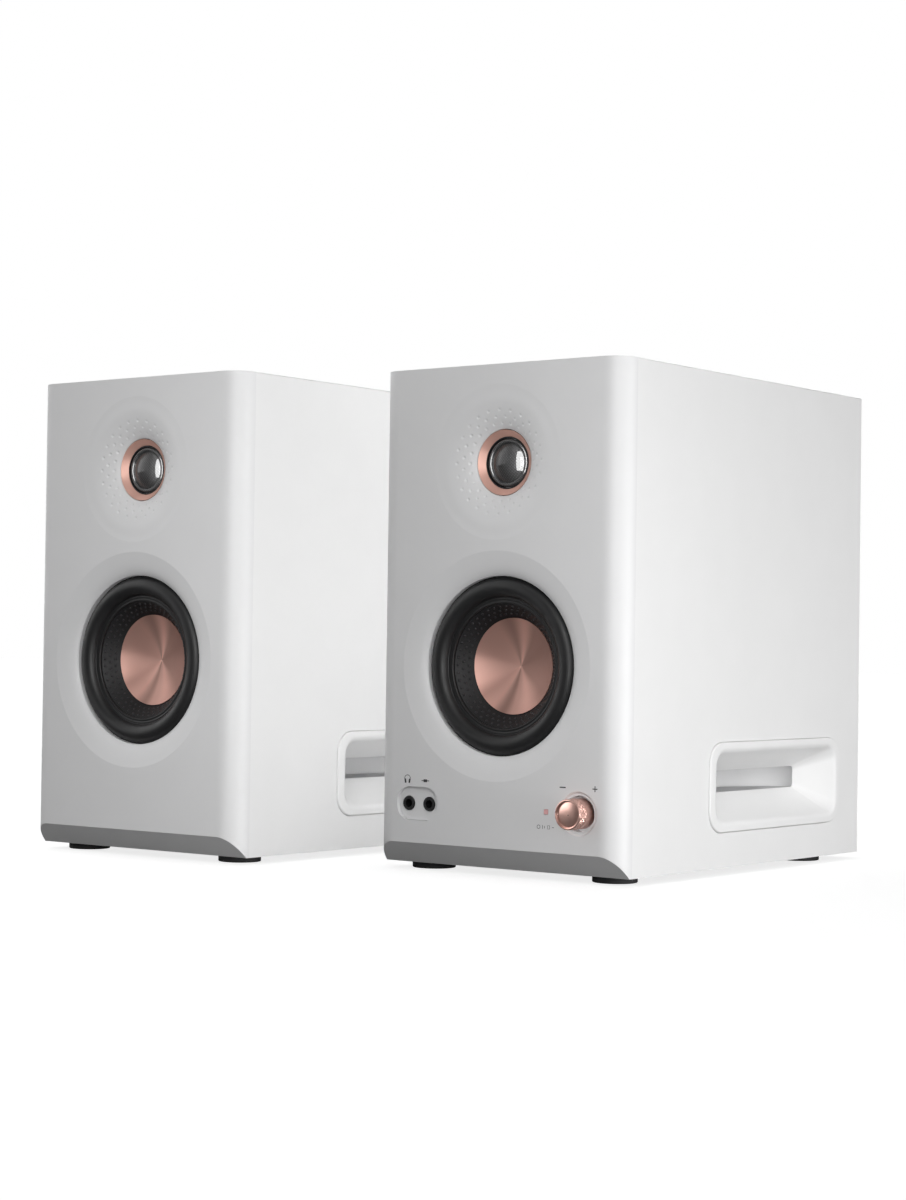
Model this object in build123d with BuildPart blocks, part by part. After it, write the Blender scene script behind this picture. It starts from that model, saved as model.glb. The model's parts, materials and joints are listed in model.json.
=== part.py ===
from build123d import *
import math
import os

# A pair of two-way desktop speakers, in millimetres. The right-hand one is active and holds the
# amplifier, the controls and the sockets; the left-hand one is passive. Each speaker is drawn in its
# own frame: x = 0 on its centre line, y = 0 on its front face with +Y to the rear, z = 0 on the desk.
# The pair is then placed about one common origin, the bottom centre of the pair's bounding box.

os.makedirs("parts", exist_ok=True)

# ---------------------------------------------------------------- driving dimensions
cabinet_width = 127.0
cabinet_depth = 202.0
cabinet_height = 213.0
speaker_pitch = 173.4
speaker_stagger = 40.2

# ---------------------------------------------------------------- clearances
joint_gap = 0.15
running_gap = 0.05
moving_gap = 0.35

# ---------------------------------------------------------------- cabinet, baffle and feet
wall = 12.0
baffle_depth = 10.5
corner_radius = 10.0
chin_height = 9.2
chin_depth = 8.8
edge_radius = 0.8
foot_height = 3.0
foot_radius = 9.5
foot_taper = 0.5
foot_inset_side = 16.0
foot_inset_front = 22.0
foot_inset_rear = 27.0
cabinet_base = foot_height
cabinet_top = cabinet_base + cabinet_height
half_width = cabinet_width / 2
inner_half_width = half_width - wall
inner_base = cabinet_base + wall

# ---------------------------------------------------------------- woofer
woofer_z = cabinet_base + 85.7
woofer_recess_radius = 48.6
woofer_opening_radius = 38.1
woofer_recess_depth = 3.9
woofer_recess_start = (-1, 0.25)
woofer_recess_end = (-0.6, 0.8)
woofer_flange_radius = 46.0
woofer_flange_front = 6.5
woofer_flange_plate = 1.2
woofer_screw_radius = 42.6
woofer_screw_count = 4
woofer_first_screw = 45
surround_thickness = 0.6
roll_outer_radius = 37.4
roll_inner_radius = 29.2
roll_height = 3.6
cone_edge_radius = 27.0
cone_edge_y = 8.0
cone_thickness = 0.8
cap_radius = 20.5
cap_rim_y = 14.1
cap_sag = 6.6
cap_thickness = 0.6
coil_radius = 12.9
coil_winding = 0.6
coil_former = 0.4
coil_front_rise = 2.1
neck_y = 22.0
spider_y = 25.0
spider_shelf_radius = 27.0
spider_wave = 1.2
spider_thickness = 0.6
basket_sheet = 1.2
basket_waist_radius = 30.0
basket_base_y = 31.0
basket_window_count = 4
basket_window_width = 34.0
top_plate_thickness = 4.0
magnet_thickness = 12.0
magnet_radius = 34.0
magnet_bore_radius = 17.0
yoke_thickness = 4.0
yoke_radius = 30.0
gap_clearance = 0.45

# ---------------------------------------------------------------- tweeter
tweeter_drop = 41.3
tweeter_z = cabinet_top - tweeter_drop
waveguide_radius = 32.9
waveguide_throat_radius = 14.2
waveguide_depth = 5.6
waveguide_start = (-1, 0.1)
waveguide_end = (-0.75, 0.66)
ring_radius = 13.9
ring_inner_radius = 11.2
ring_front_y = 5.2
ring_inner_y = 7.5
dome_radius = 8.4
dome_height = 2.9
dome_y = 8.2
dome_thickness = 0.4
dome_roll_radius = 10.3
dome_roll_height = 0.8
housing_flange_radius = 22.0
housing_flange_front = 8.6
housing_body_radius = 16.5
tweeter_coil_length = 5.0
tweeter_motor_radius = 14.0
tweeter_motor_length = 14.0
tweeter_gap_width = 1.6
tweeter_screw_radius = 19.2
tweeter_screw_count = 3
tweeter_first_screw = 90

# ---------------------------------------------------------------- driver screws
screw_head_radius = 2.6
screw_head_height = 1.6
screw_shank_radius = 1.3
screw_shank_length = 4.0
screw_socket_radius = 0.9

# ---------------------------------------------------------------- side port
port_front_y = 69.1
port_length = 113.8
port_height = 38.9
port_low_z = cabinet_base + 15.2
port_corner_radius = 10.0
port_proud = 0.8
port_edge_radius = 0.72
port_rim = 3.9
port_front_lip = 6.4
port_mouth_radius = 3.0
port_overhang = 2.0
port_depth = wall + port_overhang
slot_front_y = 78.0
slot_length = 87.0
slot_height = 9.6
slot_corner_radius = 2.0
duct_wall = 2.0
duct_width = 24.0
duct_exit_y = 45.0
port_mid_y = port_front_y + port_length / 2
port_mid_z = port_low_z + port_height / 2
slot_mid_y = slot_front_y + slot_length / 2
slot_mid_z = cabinet_base + 36.0
port_back_x = half_width - port_depth

# ---------------------------------------------------------------- front controls
control_rise = 14.0
control_z = inner_base + control_rise
knob_wall_gap = 7.8
knob_x = inner_half_width - knob_wall_gap
knob_radius = 6.3
knob_front_y = -8.0
knob_back_y = 3.0
knob_dish = 0.5
knob_front_wall = 1.5
knob_bevel = 0.7
knob_rim = 1.2
knob_well_gap = 1.2
knob_well_radius = knob_radius + knob_well_gap
knob_well_depth = 5.0
knob_dish_width = 1.7
knob_dish_radius = knob_well_radius + knob_dish_width
knob_dish_depth = 0.9
push_travel = 0.5
shaft_radius = 3.0
bushing_wall = 1.0
encoder_size = 13.0
encoder_depth = 6.6
plunger_radius = 4.0
plunger_thickness = 1.2
jack_wall_gap = 11.3
jack_x = jack_wall_gap - inner_half_width
jack_pitch = 11.0
jack_bore_radius = 1.8
jack_rim_radius = 3.05
jack_bore_length = 14.0
jack_body_width = 9.6
jack_body_height = 12.0
pill_length = 21.8
pill_height = 14.4
pill_corner_radius = 6.4
pill_depth = 1.6
pill_plate = 1.5
led_offset = 16.1
led_x = knob_x - led_offset
led_size = 2.0
board_thickness = 1.6
front_board_y = 19.0
board_side_gap = 1.5
front_board_half_width = inner_half_width - board_side_gap
board_floor_gap = 2.0
front_board_low_z = inner_base + board_floor_gap
front_board_height = 24.0

# ---------------------------------------------------------------- active rear panel
panel_margin_side = 13.5
panel_margin_end = 14.5
panel_width = cabinet_width - 2 * panel_margin_side
panel_height = cabinet_height - 2 * panel_margin_end
panel_plate = 2.0
panel_overlap = 5.0
panel_mid_z = cabinet_base + cabinet_height / 2
panel_corner_radius = 4.0
panel_screw_inset = 2.5
panel_screw_rows = 4
panel_face_y = cabinet_depth + panel_plate
panel_window_width = panel_width - 2 * panel_overlap
panel_window_height = panel_height - 2 * panel_overlap
amp_board_width = 86.0
amp_board_height = 112.0
amp_board_gap = 13.0
amp_board_low_z = cabinet_base + 78.0
amp_board_y = cabinet_depth - amp_board_gap - board_thickness
heat_sink_width = 60.0
heat_sink_depth = 18.0
heat_sink_height = 22.0
heat_sink_fins = 9
heat_sink_base = 4.0
capacitor_radius = 6.5
capacitor_length = 22.0
capacitor_pitch = 17.0
tone_drop = 37.0
tone_z = cabinet_top - tone_drop
tone_x = 22.0
tone_knob_radius = 8.0
tone_knob_length = 11.0
tone_knob_gap = 1.0
pointer_width = 1.2
pointer_radius = 5.2
pointer_length = 4.0
tone_spindle_radius = 3.0
tone_spindle_length = 9.0
pot_size = 16.0
pot_depth = 9.0
line_z = cabinet_base + 138.0
line_pitch = 20.0
rca_x = -26.0
rca_radius = 4.15
rca_length = 9.0
rca_bore_radius = 1.65
rca_flange_radius = 6.5
rca_flange_thickness = 1.2
rca_body_size = 11.0
trs_x = 22.0
trs_bore_radius = 3.2
trs_bore_length = 26.0
trs_nut_radius = 7.2
trs_nut_height = 2.6
trs_body_size = 15.5
trs_neck_wall = 1.3
nut_sides = 6
link_z = cabinet_base + 96.0
power_z = cabinet_base + 40.0
module_width = 68.0
module_height = 26.0
module_depth = 20.0
module_overlap = 2.5
module_bezel = 1.4
inlet_x = -20.0
inlet_cavity_width = 16.4
inlet_cavity_height = 9.4
inlet_cavity_depth = 13.0
inlet_pin_radius = 1.2
inlet_pin_pitch = 8.6
inlet_pin_length = 10.0
switch_x = 20.0
rocker_width = 12.0
rocker_height = 19.0
rocker_tilt = 8.0
rocker_valley = 1.9
rocker_rise = 1.3
rocker_root = 3.0
rocker_root_half = 7.6
rocker_axle_radius = 1.5
rocker_axle_length = 1.2
rocker_well_depth = 9.0
rocker_end_gap = 1.0
core_width = 44.0
core_length = 24.0
core_height = 38.0
bobbin_width = 30.0
bobbin_length = 44.0
bobbin_height = 26.0
transformer_x = -27.0
transformer_y = 140.0

# ---------------------------------------------------------------- passive rear plate
terminal_width = 56.0
terminal_height = 44.0
terminal_overlap = 5.0
terminal_flange = 2.0
terminal_plug = 6.0
terminal_z = cabinet_base + 60.0

# ---------------------------------------------------------------- placing the pair
rear_reach = panel_plate + tone_knob_gap + tone_knob_length
pair_depth = speaker_stagger + cabinet_depth + rear_reach
pair_shift_x = -port_proud / 2
speaker_places = {
    "active": Location((pair_shift_x + speaker_pitch / 2, speaker_stagger - pair_depth / 2, 0)),
    "passive": Location((pair_shift_x - speaker_pitch / 2, -pair_depth / 2, 0)),
}
both_speakers = ("active", "passive")


def finish(piece, name, speakers):
    """Write one piece where it stands in each speaker that has it."""
    for speaker in speakers:
        placed = piece.part.moved(speaker_places[speaker])
        placed.label = f"{speaker}_{name}"
        export_step(placed, f"parts/{placed.label}.step")


def level(z, x=0):
    """The horizontal plane through (x, z), on which turned profiles are drawn as (radius, depth)."""
    return Plane(origin=(x, 0, z))


def turning_axis(z, x=0):
    """The front-to-back axis through (x, z)."""
    return Axis((x, 0, z), (0, 1, 0))


def upright(y):
    """The plane that faces the front at depth y: sketch x is +X and sketch y is +Z."""
    return Plane(origin=(0, y, 0), x_dir=(1, 0, 0), z_dir=(0, -1, 0))


def cap_rise(rim_radius, sag, radius):
    """Height above its rim of a spherical cap, at a given radius from its axis."""
    sphere = (rim_radius ** 2 + sag ** 2) / (2 * sag)
    return math.sqrt(sphere ** 2 - radius ** 2) - (sphere - sag)


def spread(count, radius, centre_x, centre_z, start):
    """Points evenly round a circle that faces the front, as (x, z)."""
    turns = [math.radians(start + 360 * step / count) for step in range(count)]
    return [(centre_x + radius * math.cos(t), centre_z + radius * math.sin(t)) for t in turns]


def panel_screw_points():
    """Screw places down both long sides of the active rear panel, as (x, z)."""
    rise = (panel_height - 4 * panel_screw_inset) / (panel_screw_rows - 1)
    low = panel_mid_z - panel_height / 2 + 2 * panel_screw_inset
    side = panel_width / 2 - panel_screw_inset
    return [(x, low + rise * row) for x in (-side, side) for row in range(panel_screw_rows)]


# ================================================================ cabinets
def make_cabinet(window_width, window_height, window_z, screw_points):
    """A glued box, open at the front, with a port cut-out on its right and a window at the rear."""
    shell_length = cabinet_depth - baffle_depth
    with BuildPart() as cabinet:
        with BuildSketch(upright(baffle_depth)):
            with Locations((0, cabinet_base + cabinet_height / 2)):
                Rectangle(cabinet_width, cabinet_height)
        extrude(amount=-shell_length)
        top_edges = cabinet.edges().filter_by(Axis.Y).group_by(Axis.Z)[-1]
        fillet(top_edges, edge_radius)
        with BuildSketch(upright(baffle_depth)):
            with Locations((0, cabinet_base + cabinet_height / 2)):
                Rectangle(cabinet_width - 2 * wall, cabinet_height - 2 * wall)
        extrude(amount=-(shell_length - wall), mode=Mode.SUBTRACT)
        with BuildSketch(Plane.YZ.offset(inner_half_width)):
            with Locations((port_mid_y, port_mid_z)):
                RectangleRounded(port_length + 2 * joint_gap, port_height + 2 * joint_gap,
                                 port_corner_radius)
        extrude(amount=wall, mode=Mode.SUBTRACT)
        with BuildSketch(upright(cabinet_depth)):
            with Locations((0, window_z)):
                Rectangle(window_width, window_height)
        extrude(amount=wall, mode=Mode.SUBTRACT)
        for screw_point in screw_points:
            with BuildSketch(upright(cabinet_depth)):
                with Locations(screw_point):
                    Circle(screw_shank_radius)
            extrude(amount=screw_shank_length - panel_plate, mode=Mode.SUBTRACT)
    return cabinet


active_cabinet = make_cabinet(panel_window_width, panel_window_height, panel_mid_z,
                              panel_screw_points())
finish(active_cabinet, "cabinet", ("active",))
passive_cabinet = make_cabinet(terminal_width - 2 * terminal_overlap,
                               terminal_height - 2 * terminal_overlap, terminal_z, [])
finish(passive_cabinet, "cabinet", ("passive",))


# ================================================================ front baffles
flange_front_y = woofer_flange_front + surround_thickness
flange_back_y = flange_front_y + woofer_flange_plate
woofer_screw_points = spread(woofer_screw_count, woofer_screw_radius, 0, woofer_z,
                             woofer_first_screw)
tweeter_screw_points = spread(tweeter_screw_count, tweeter_screw_radius, 0, tweeter_z,
                              tweeter_first_screw)


def make_baffle(has_controls):
    """The moulded front: rounded upright edges, a sloped chin, and recesses for both drivers."""
    with BuildPart() as baffle:
        with BuildSketch(upright(baffle_depth)):
            with Locations((0, cabinet_base + cabinet_height / 2)):
                Rectangle(cabinet_width, cabinet_height)
        extrude(amount=baffle_depth)
        front_uprights = baffle.edges().filter_by(Axis.Z).group_by(Axis.Y)[0]
        fillet(front_uprights, corner_radius)
        with BuildSketch(Plane.YZ.offset(-half_width)):
            with BuildLine():
                Polyline((0, cabinet_base), (chin_depth, cabinet_base),
                         (0, cabinet_base + chin_height), close=True)
            make_face()
        extrude(amount=cabinet_width, mode=Mode.SUBTRACT)
        with BuildSketch(level(woofer_z)):
            with BuildLine():
                Line((0, 0), (woofer_recess_radius, 0))
                Spline((woofer_recess_radius, 0), (woofer_opening_radius, woofer_recess_depth),
                       tangents=[woofer_recess_start, woofer_recess_end])
                Polyline((woofer_opening_radius, woofer_recess_depth),
                         (woofer_opening_radius, woofer_flange_front),
                         (woofer_flange_radius + joint_gap, woofer_flange_front),
                         (woofer_flange_radius + joint_gap, baffle_depth), (0, baffle_depth), (0, 0))
            make_face()
        revolve(axis=turning_axis(woofer_z), mode=Mode.SUBTRACT)
        with BuildSketch(level(tweeter_z)):
            with BuildLine():
                Line((0, 0), (waveguide_radius, 0))
                Spline((waveguide_radius, 0), (waveguide_throat_radius, waveguide_depth),
                       tangents=[waveguide_start, waveguide_end])
                Polyline((waveguide_throat_radius, waveguide_depth),
                         (waveguide_throat_radius, housing_flange_front),
                         (housing_flange_radius + joint_gap, housing_flange_front),
                         (housing_flange_radius + joint_gap, baffle_depth), (0, baffle_depth), (0, 0))
            make_face()
        revolve(axis=turning_axis(tweeter_z), mode=Mode.SUBTRACT)
        with BuildSketch(upright(flange_back_y)):
            with Locations(*woofer_screw_points):
                Circle(screw_shank_radius)
        extrude(amount=screw_shank_length, mode=Mode.SUBTRACT)
        with BuildSketch(upright(baffle_depth)):
            with Locations(*tweeter_screw_points):
                Circle(screw_shank_radius)
        extrude(amount=screw_shank_length, mode=Mode.SUBTRACT)
        if has_controls:
            with BuildSketch(upright(0)):
                with Locations((jack_x, control_z)):
                    RectangleRounded(pill_length, pill_height, pill_corner_radius)
            extrude(amount=-(pill_depth + pill_plate), mode=Mode.SUBTRACT)
            with BuildSketch(upright(0)):
                with Locations((jack_x - jack_pitch / 2, control_z), (jack_x + jack_pitch / 2, control_z)):
                    Circle(jack_rim_radius + joint_gap)
                with Locations((led_x, control_z)):
                    Rectangle(led_size + 2 * joint_gap, led_size + 2 * joint_gap)
                with Locations((knob_x, control_z)):
                    Circle(shaft_radius + running_gap + bushing_wall + joint_gap)
            extrude(amount=-baffle_depth, mode=Mode.SUBTRACT)
            with BuildSketch(upright(0)):
                with Locations((knob_x, control_z)):
                    Circle(knob_well_radius)
            extrude(amount=-knob_well_depth, mode=Mode.SUBTRACT)
            with BuildSketch(upright(0)):
                with Locations((knob_x, control_z)):
                    Circle(knob_dish_radius)
            extrude(amount=-knob_dish_depth, taper=45, mode=Mode.SUBTRACT)
    return baffle


finish(make_baffle(has_controls=True), "baffle", ("active",))
finish(make_baffle(has_controls=False), "baffle", ("passive",))

with BuildPart() as feet:
    foot_x = half_width - foot_inset_side
    with BuildSketch(Plane.XY.offset(cabinet_base)):
        with Locations(*[(x, y) for x in (-foot_x, foot_x)
                         for y in (foot_inset_front, cabinet_depth - foot_inset_rear)]):
            Circle(foot_radius)
    extrude(amount=-foot_height)
    fillet(feet.edges().group_by(Axis.Z)[0], foot_taper)
finish(feet, "feet", both_speakers)


# ================================================================ side port
with BuildPart() as port_flare:
    with BuildSketch(Plane.YZ.offset(port_back_x)):
        with Locations((port_mid_y, port_mid_z)):
            RectangleRounded(port_length, port_height, port_corner_radius)
    extrude(amount=port_depth + port_proud)
    fillet(port_flare.faces().sort_by(Axis.X)[-1].edges(), port_edge_radius)
    mouth_length = port_length - port_front_lip - port_rim
    mouth_mid_y = port_front_y + port_front_lip + mouth_length / 2
    with BuildSketch(Plane.YZ.offset(half_width + port_proud)):
        with Locations((mouth_mid_y, port_mid_z)):
            RectangleRounded(mouth_length, port_height - 2 * port_rim, port_corner_radius - port_rim)
    with BuildSketch(Plane.YZ.offset(port_back_x)):
        with Locations((slot_mid_y, slot_mid_z)):
            RectangleRounded(slot_length, slot_height, slot_corner_radius)
    loft(ruled=True, mode=Mode.SUBTRACT)
    fillet(port_flare.faces().sort_by(Axis.X)[-1].inner_wires()[0].edges(), port_mouth_radius)
finish(port_flare, "port_flare", both_speakers)


def duct_plan(margin, mouth_x, exit_y):
    """The duct seen from above: it turns from the side mouth towards the front of the cabinet."""
    inner_x = port_back_x - 2 * duct_wall - duct_width - margin
    outer_x = port_back_x - 2 * duct_wall + margin
    rear_y = slot_front_y + slot_length + margin
    front_y = slot_front_y - margin
    sweep_x = mouth_x - inner_x
    with BuildLine() as outline:
        Polyline((mouth_x, rear_y), (mouth_x, front_y), (outer_x, front_y), (outer_x, exit_y),
                 (inner_x, exit_y), (inner_x, front_y))
        EllipticalCenterArc((mouth_x, front_y), sweep_x, rear_y - front_y, 90, arc_size=90)
    return outline.line


with BuildPart() as port_duct:
    with BuildSketch(Plane.XY.offset(slot_mid_z - slot_height / 2 - duct_wall)):
        add(duct_plan(duct_wall, port_back_x, duct_exit_y))
        make_face()
    extrude(amount=slot_height + 2 * duct_wall)
    with BuildSketch(Plane.XY.offset(slot_mid_z - slot_height / 2)):
        add(duct_plan(0, port_back_x, duct_exit_y))
        make_face()
    extrude(amount=slot_height, mode=Mode.SUBTRACT)
finish(port_duct, "port_duct", both_speakers)

# ================================================================ woofer
top_plate_y = basket_base_y
magnet_y = top_plate_y + top_plate_thickness
yoke_y = magnet_y + magnet_thickness
pole_radius = coil_radius - coil_former - coil_winding - gap_clearance
gap_outer_radius = coil_radius + gap_clearance

basket_inner_base = basket_base_y - basket_sheet

with BuildPart() as woofer_basket:
    with BuildSketch(level(woofer_z)):
        with BuildLine():
            Polyline((roll_outer_radius, flange_back_y), (roll_outer_radius, flange_front_y),
                     (woofer_flange_radius, flange_front_y), (woofer_flange_radius, flange_back_y),
                     (roll_outer_radius + basket_sheet, flange_back_y),
                     (basket_waist_radius + basket_sheet, spider_y - spider_wave),
                     (basket_waist_radius + basket_sheet, basket_base_y),
                     (gap_outer_radius, basket_base_y), (gap_outer_radius, basket_inner_base),
                     (spider_shelf_radius - basket_sheet, basket_inner_base),
                     (spider_shelf_radius - basket_sheet, spider_y + spider_thickness),
                     (basket_waist_radius, spider_y + spider_thickness),
                     (basket_waist_radius, spider_y - spider_wave), close=True)
        make_face()
    revolve(axis=turning_axis(woofer_z))
    window_front_y = flange_back_y + 2 * basket_sheet
    window_back_y = spider_y - spider_wave - basket_sheet
    for window in range(basket_window_count):
        turn = 360 * window / basket_window_count
        frame = Plane(origin=(0, (window_front_y + window_back_y) / 2, woofer_z),
                      x_dir=(math.cos(math.radians(turn)), 0, math.sin(math.radians(turn))),
                      z_dir=(-math.sin(math.radians(turn)), 0, math.cos(math.radians(turn))))
        with BuildSketch(frame):
            Rectangle(basket_window_width, window_back_y - window_front_y)
        extrude(amount=woofer_flange_radius, mode=Mode.SUBTRACT)
    with BuildSketch(upright(flange_back_y)):
        with Locations(*woofer_screw_points):
            Circle(screw_shank_radius + joint_gap)
    extrude(amount=woofer_flange_plate, mode=Mode.SUBTRACT)
finish(woofer_basket, "woofer_basket", both_speakers)

surround_bond_y = cone_edge_y - cone_thickness
surround_foot_y = surround_bond_y - surround_thickness
with BuildPart() as woofer_surround:
    roll_mid_radius = (roll_outer_radius + roll_inner_radius) / 2
    roll_base_y = woofer_flange_front
    with BuildSketch(level(woofer_z)):
        with BuildLine():
            ThreePointArc((roll_outer_radius, roll_base_y), (roll_mid_radius, roll_base_y - roll_height),
                          (roll_inner_radius, roll_base_y))
            Line((roll_inner_radius, roll_base_y), (cone_edge_radius, surround_foot_y))
            Line((cone_edge_radius, surround_foot_y), (cone_edge_radius, surround_bond_y))
            Line((cone_edge_radius, surround_bond_y),
                 (roll_inner_radius + surround_thickness, roll_base_y + surround_thickness))
            ThreePointArc((roll_inner_radius + surround_thickness, roll_base_y + surround_thickness),
                          (roll_mid_radius, roll_base_y + surround_thickness - roll_height),
                          (roll_outer_radius - surround_thickness, roll_base_y + surround_thickness))
            Polyline((roll_outer_radius - surround_thickness, roll_base_y + surround_thickness),
                     (woofer_flange_radius, roll_base_y + surround_thickness),
                     (woofer_flange_radius, roll_base_y), (roll_outer_radius, roll_base_y))
        make_face()
    revolve(axis=turning_axis(woofer_z))
    with BuildSketch(upright(woofer_flange_front)):
        with Locations(*woofer_screw_points):
            Circle(screw_shank_radius + joint_gap)
    extrude(amount=-surround_thickness, mode=Mode.SUBTRACT)
finish(woofer_surround, "woofer_surround", both_speakers)

with BuildPart() as woofer_cone:
    cone_lip_y = cone_edge_y - cone_thickness
    neck_radius = coil_radius
    with BuildSketch(level(woofer_z)):
        with BuildLine():
            Polyline((roll_inner_radius, cone_lip_y), (cone_edge_radius - cone_thickness, cone_lip_y),
                     (cap_radius, cap_rim_y), (neck_radius, neck_y),
                     (neck_radius, neck_y + cone_thickness),
                     (neck_radius + cone_thickness, neck_y + cone_thickness),
                     (cap_radius + cone_thickness, cap_rim_y + cone_thickness / 2),
                     (cone_edge_radius, cone_edge_y), (roll_inner_radius, cone_edge_y), close=True)
        make_face()
    revolve(axis=turning_axis(woofer_z))
finish(woofer_cone, "woofer_cone", both_speakers)

with BuildPart() as woofer_dust_cap:
    cap_front_y = cap_rim_y - cap_thickness
    cap_depth = cap_sag - cap_thickness
    cap_middle = cap_rise(cap_radius, cap_depth, cap_radius / 2)
    with BuildSketch(level(woofer_z)):
        with BuildLine():
            ThreePointArc((0, cap_front_y + cap_depth), (cap_radius / 2, cap_front_y + cap_middle),
                          (cap_radius, cap_front_y))
            Line((cap_radius, cap_front_y), (cap_radius, cap_rim_y))
            ThreePointArc((cap_radius, cap_rim_y), (cap_radius / 2, cap_rim_y + cap_middle),
                          (0, cap_rim_y + cap_depth))
            Line((0, cap_rim_y + cap_depth), (0, cap_front_y + cap_depth))
        make_face()
    revolve(axis=turning_axis(woofer_z))
finish(woofer_dust_cap, "woofer_dust_cap", both_speakers)

with BuildPart() as woofer_voice_coil:
    coil_front_y = neck_y - coil_front_rise
    coil_back_y = top_plate_y + 2 * top_plate_thickness
    former_outer = coil_radius - coil_winding
    former_inner = former_outer - coil_former
    with BuildSketch(level(woofer_z)):
        with BuildLine():
            Polyline((former_inner, coil_front_y), (coil_radius, coil_front_y),
                     (coil_radius, neck_y + cone_thickness), (former_outer, neck_y + cone_thickness),
                     (former_outer, top_plate_y - top_plate_thickness / 2),
                     (coil_radius, top_plate_y - top_plate_thickness / 2),
                     (coil_radius, coil_back_y), (former_inner, coil_back_y), close=True)
        make_face()
    revolve(axis=turning_axis(woofer_z))
finish(woofer_voice_coil, "woofer_voice_coil", both_speakers)

with BuildPart() as woofer_spider:
    spider_inner_radius = coil_radius - coil_winding
    wave_count = 4
    wave_length = (basket_waist_radius - spider_inner_radius) / wave_count
    with BuildSketch(level(woofer_z)):
        with BuildLine():
            crest = []
            for wave in range(2 * wave_count + 1):
                lift = spider_wave / 2 if wave % 2 else 0
                crest.append((spider_inner_radius + wave * wave_length / 2, spider_y - lift))
            Polyline(*crest)
            Polyline(crest[-1], (crest[-1][0], crest[-1][1] + spider_thickness))
            Polyline(*[(r, y + spider_thickness) for r, y in reversed(crest)])
            Polyline((crest[0][0], crest[0][1] + spider_thickness), crest[0])
        make_face()
    revolve(axis=turning_axis(woofer_z))
finish(woofer_spider, "woofer_spider", both_speakers)

with BuildPart() as woofer_top_plate:
    with BuildSketch(upright(top_plate_y)):
        with Locations((0, woofer_z)):
            Circle(yoke_radius)
            Circle(gap_outer_radius, mode=Mode.SUBTRACT)
    extrude(amount=-top_plate_thickness)
finish(woofer_top_plate, "woofer_top_plate", both_speakers)

with BuildPart() as woofer_magnet:
    with BuildSketch(upright(magnet_y)):
        with Locations((0, woofer_z)):
            Circle(magnet_radius)
            Circle(magnet_bore_radius, mode=Mode.SUBTRACT)
    extrude(amount=-magnet_thickness)
    fillet(woofer_magnet.edges().filter_by(GeomType.CIRCLE), edge_radius)
finish(woofer_magnet, "woofer_magnet", both_speakers)

with BuildPart() as woofer_yoke:
    with BuildSketch(upright(yoke_y)):
        with Locations((0, woofer_z)):
            Circle(yoke_radius)
    extrude(amount=-yoke_thickness)
    with BuildSketch(upright(yoke_y)):
        with Locations((0, woofer_z)):
            Circle(pole_radius)
    extrude(amount=magnet_thickness + top_plate_thickness)
finish(woofer_yoke, "woofer_yoke", both_speakers)

# ================================================================ tweeter
with BuildPart() as tweeter_ring:
    with BuildSketch(level(tweeter_z)):
        with BuildLine():
            Polyline((ring_radius, ring_front_y), (ring_inner_radius, ring_inner_y),
                     (ring_inner_radius, housing_flange_front), (ring_radius, housing_flange_front),
                     close=True)
        make_face()
    revolve(axis=turning_axis(tweeter_z))
finish(tweeter_ring, "tweeter_ring", both_speakers)

housing_back_y = housing_flange_front + tweeter_motor_length
dome_hole_radius = dome_roll_radius + moving_gap
collar_radius = ring_inner_radius - joint_gap
coil_inner_radius = dome_radius - dome_thickness
with BuildPart() as tweeter_housing:
    with BuildSketch(level(tweeter_z)):
        with BuildLine():
            Polyline((dome_hole_radius, ring_inner_y), (collar_radius, ring_inner_y),
                     (collar_radius, housing_flange_front),
                     (housing_flange_radius, housing_flange_front),
                     (housing_flange_radius, baffle_depth), (housing_body_radius, baffle_depth),
                     (housing_body_radius, housing_back_y), (tweeter_motor_radius, housing_back_y),
                     (tweeter_motor_radius, baffle_depth), (dome_hole_radius, baffle_depth),
                     close=True)
        make_face()
    revolve(axis=turning_axis(tweeter_z))
    with BuildSketch(upright(housing_flange_front)):
        with Locations(*tweeter_screw_points):
            Circle(screw_shank_radius + joint_gap)
    extrude(amount=-(baffle_depth - housing_flange_front), mode=Mode.SUBTRACT)
finish(tweeter_housing, "tweeter_housing", both_speakers)

with BuildPart() as tweeter_dome:
    roll_middle = (dome_radius + dome_roll_radius) / 2
    dome_middle = cap_rise(dome_radius, dome_height, dome_radius / 2)
    inner_height = dome_height - dome_thickness
    inner_middle = cap_rise(coil_inner_radius, inner_height, coil_inner_radius / 2)
    former_back_y = dome_y + tweeter_coil_length
    with BuildSketch(level(tweeter_z)):
        with BuildLine():
            ThreePointArc((0, dome_y - dome_height), (dome_radius / 2, dome_y - dome_middle),
                          (dome_radius, dome_y))
            ThreePointArc((dome_radius, dome_y), (roll_middle, dome_y - dome_roll_height),
                          (dome_roll_radius, dome_y))
            Line((dome_roll_radius, dome_y), (dome_roll_radius, dome_y + dome_thickness))
            ThreePointArc((dome_roll_radius, dome_y + dome_thickness),
                          (roll_middle, dome_y + dome_thickness - dome_roll_height),
                          (dome_radius, dome_y + dome_thickness))
            Polyline((dome_radius, dome_y + dome_thickness), (dome_radius, former_back_y),
                     (coil_inner_radius, former_back_y), (coil_inner_radius, dome_y))
            ThreePointArc((coil_inner_radius, dome_y), (coil_inner_radius / 2, dome_y - inner_middle),
                          (0, dome_y - inner_height))
            Line((0, dome_y - inner_height), (0, dome_y - dome_height))
        make_face()
    revolve(axis=turning_axis(tweeter_z))
finish(tweeter_dome, "tweeter_dome", both_speakers)

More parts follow.
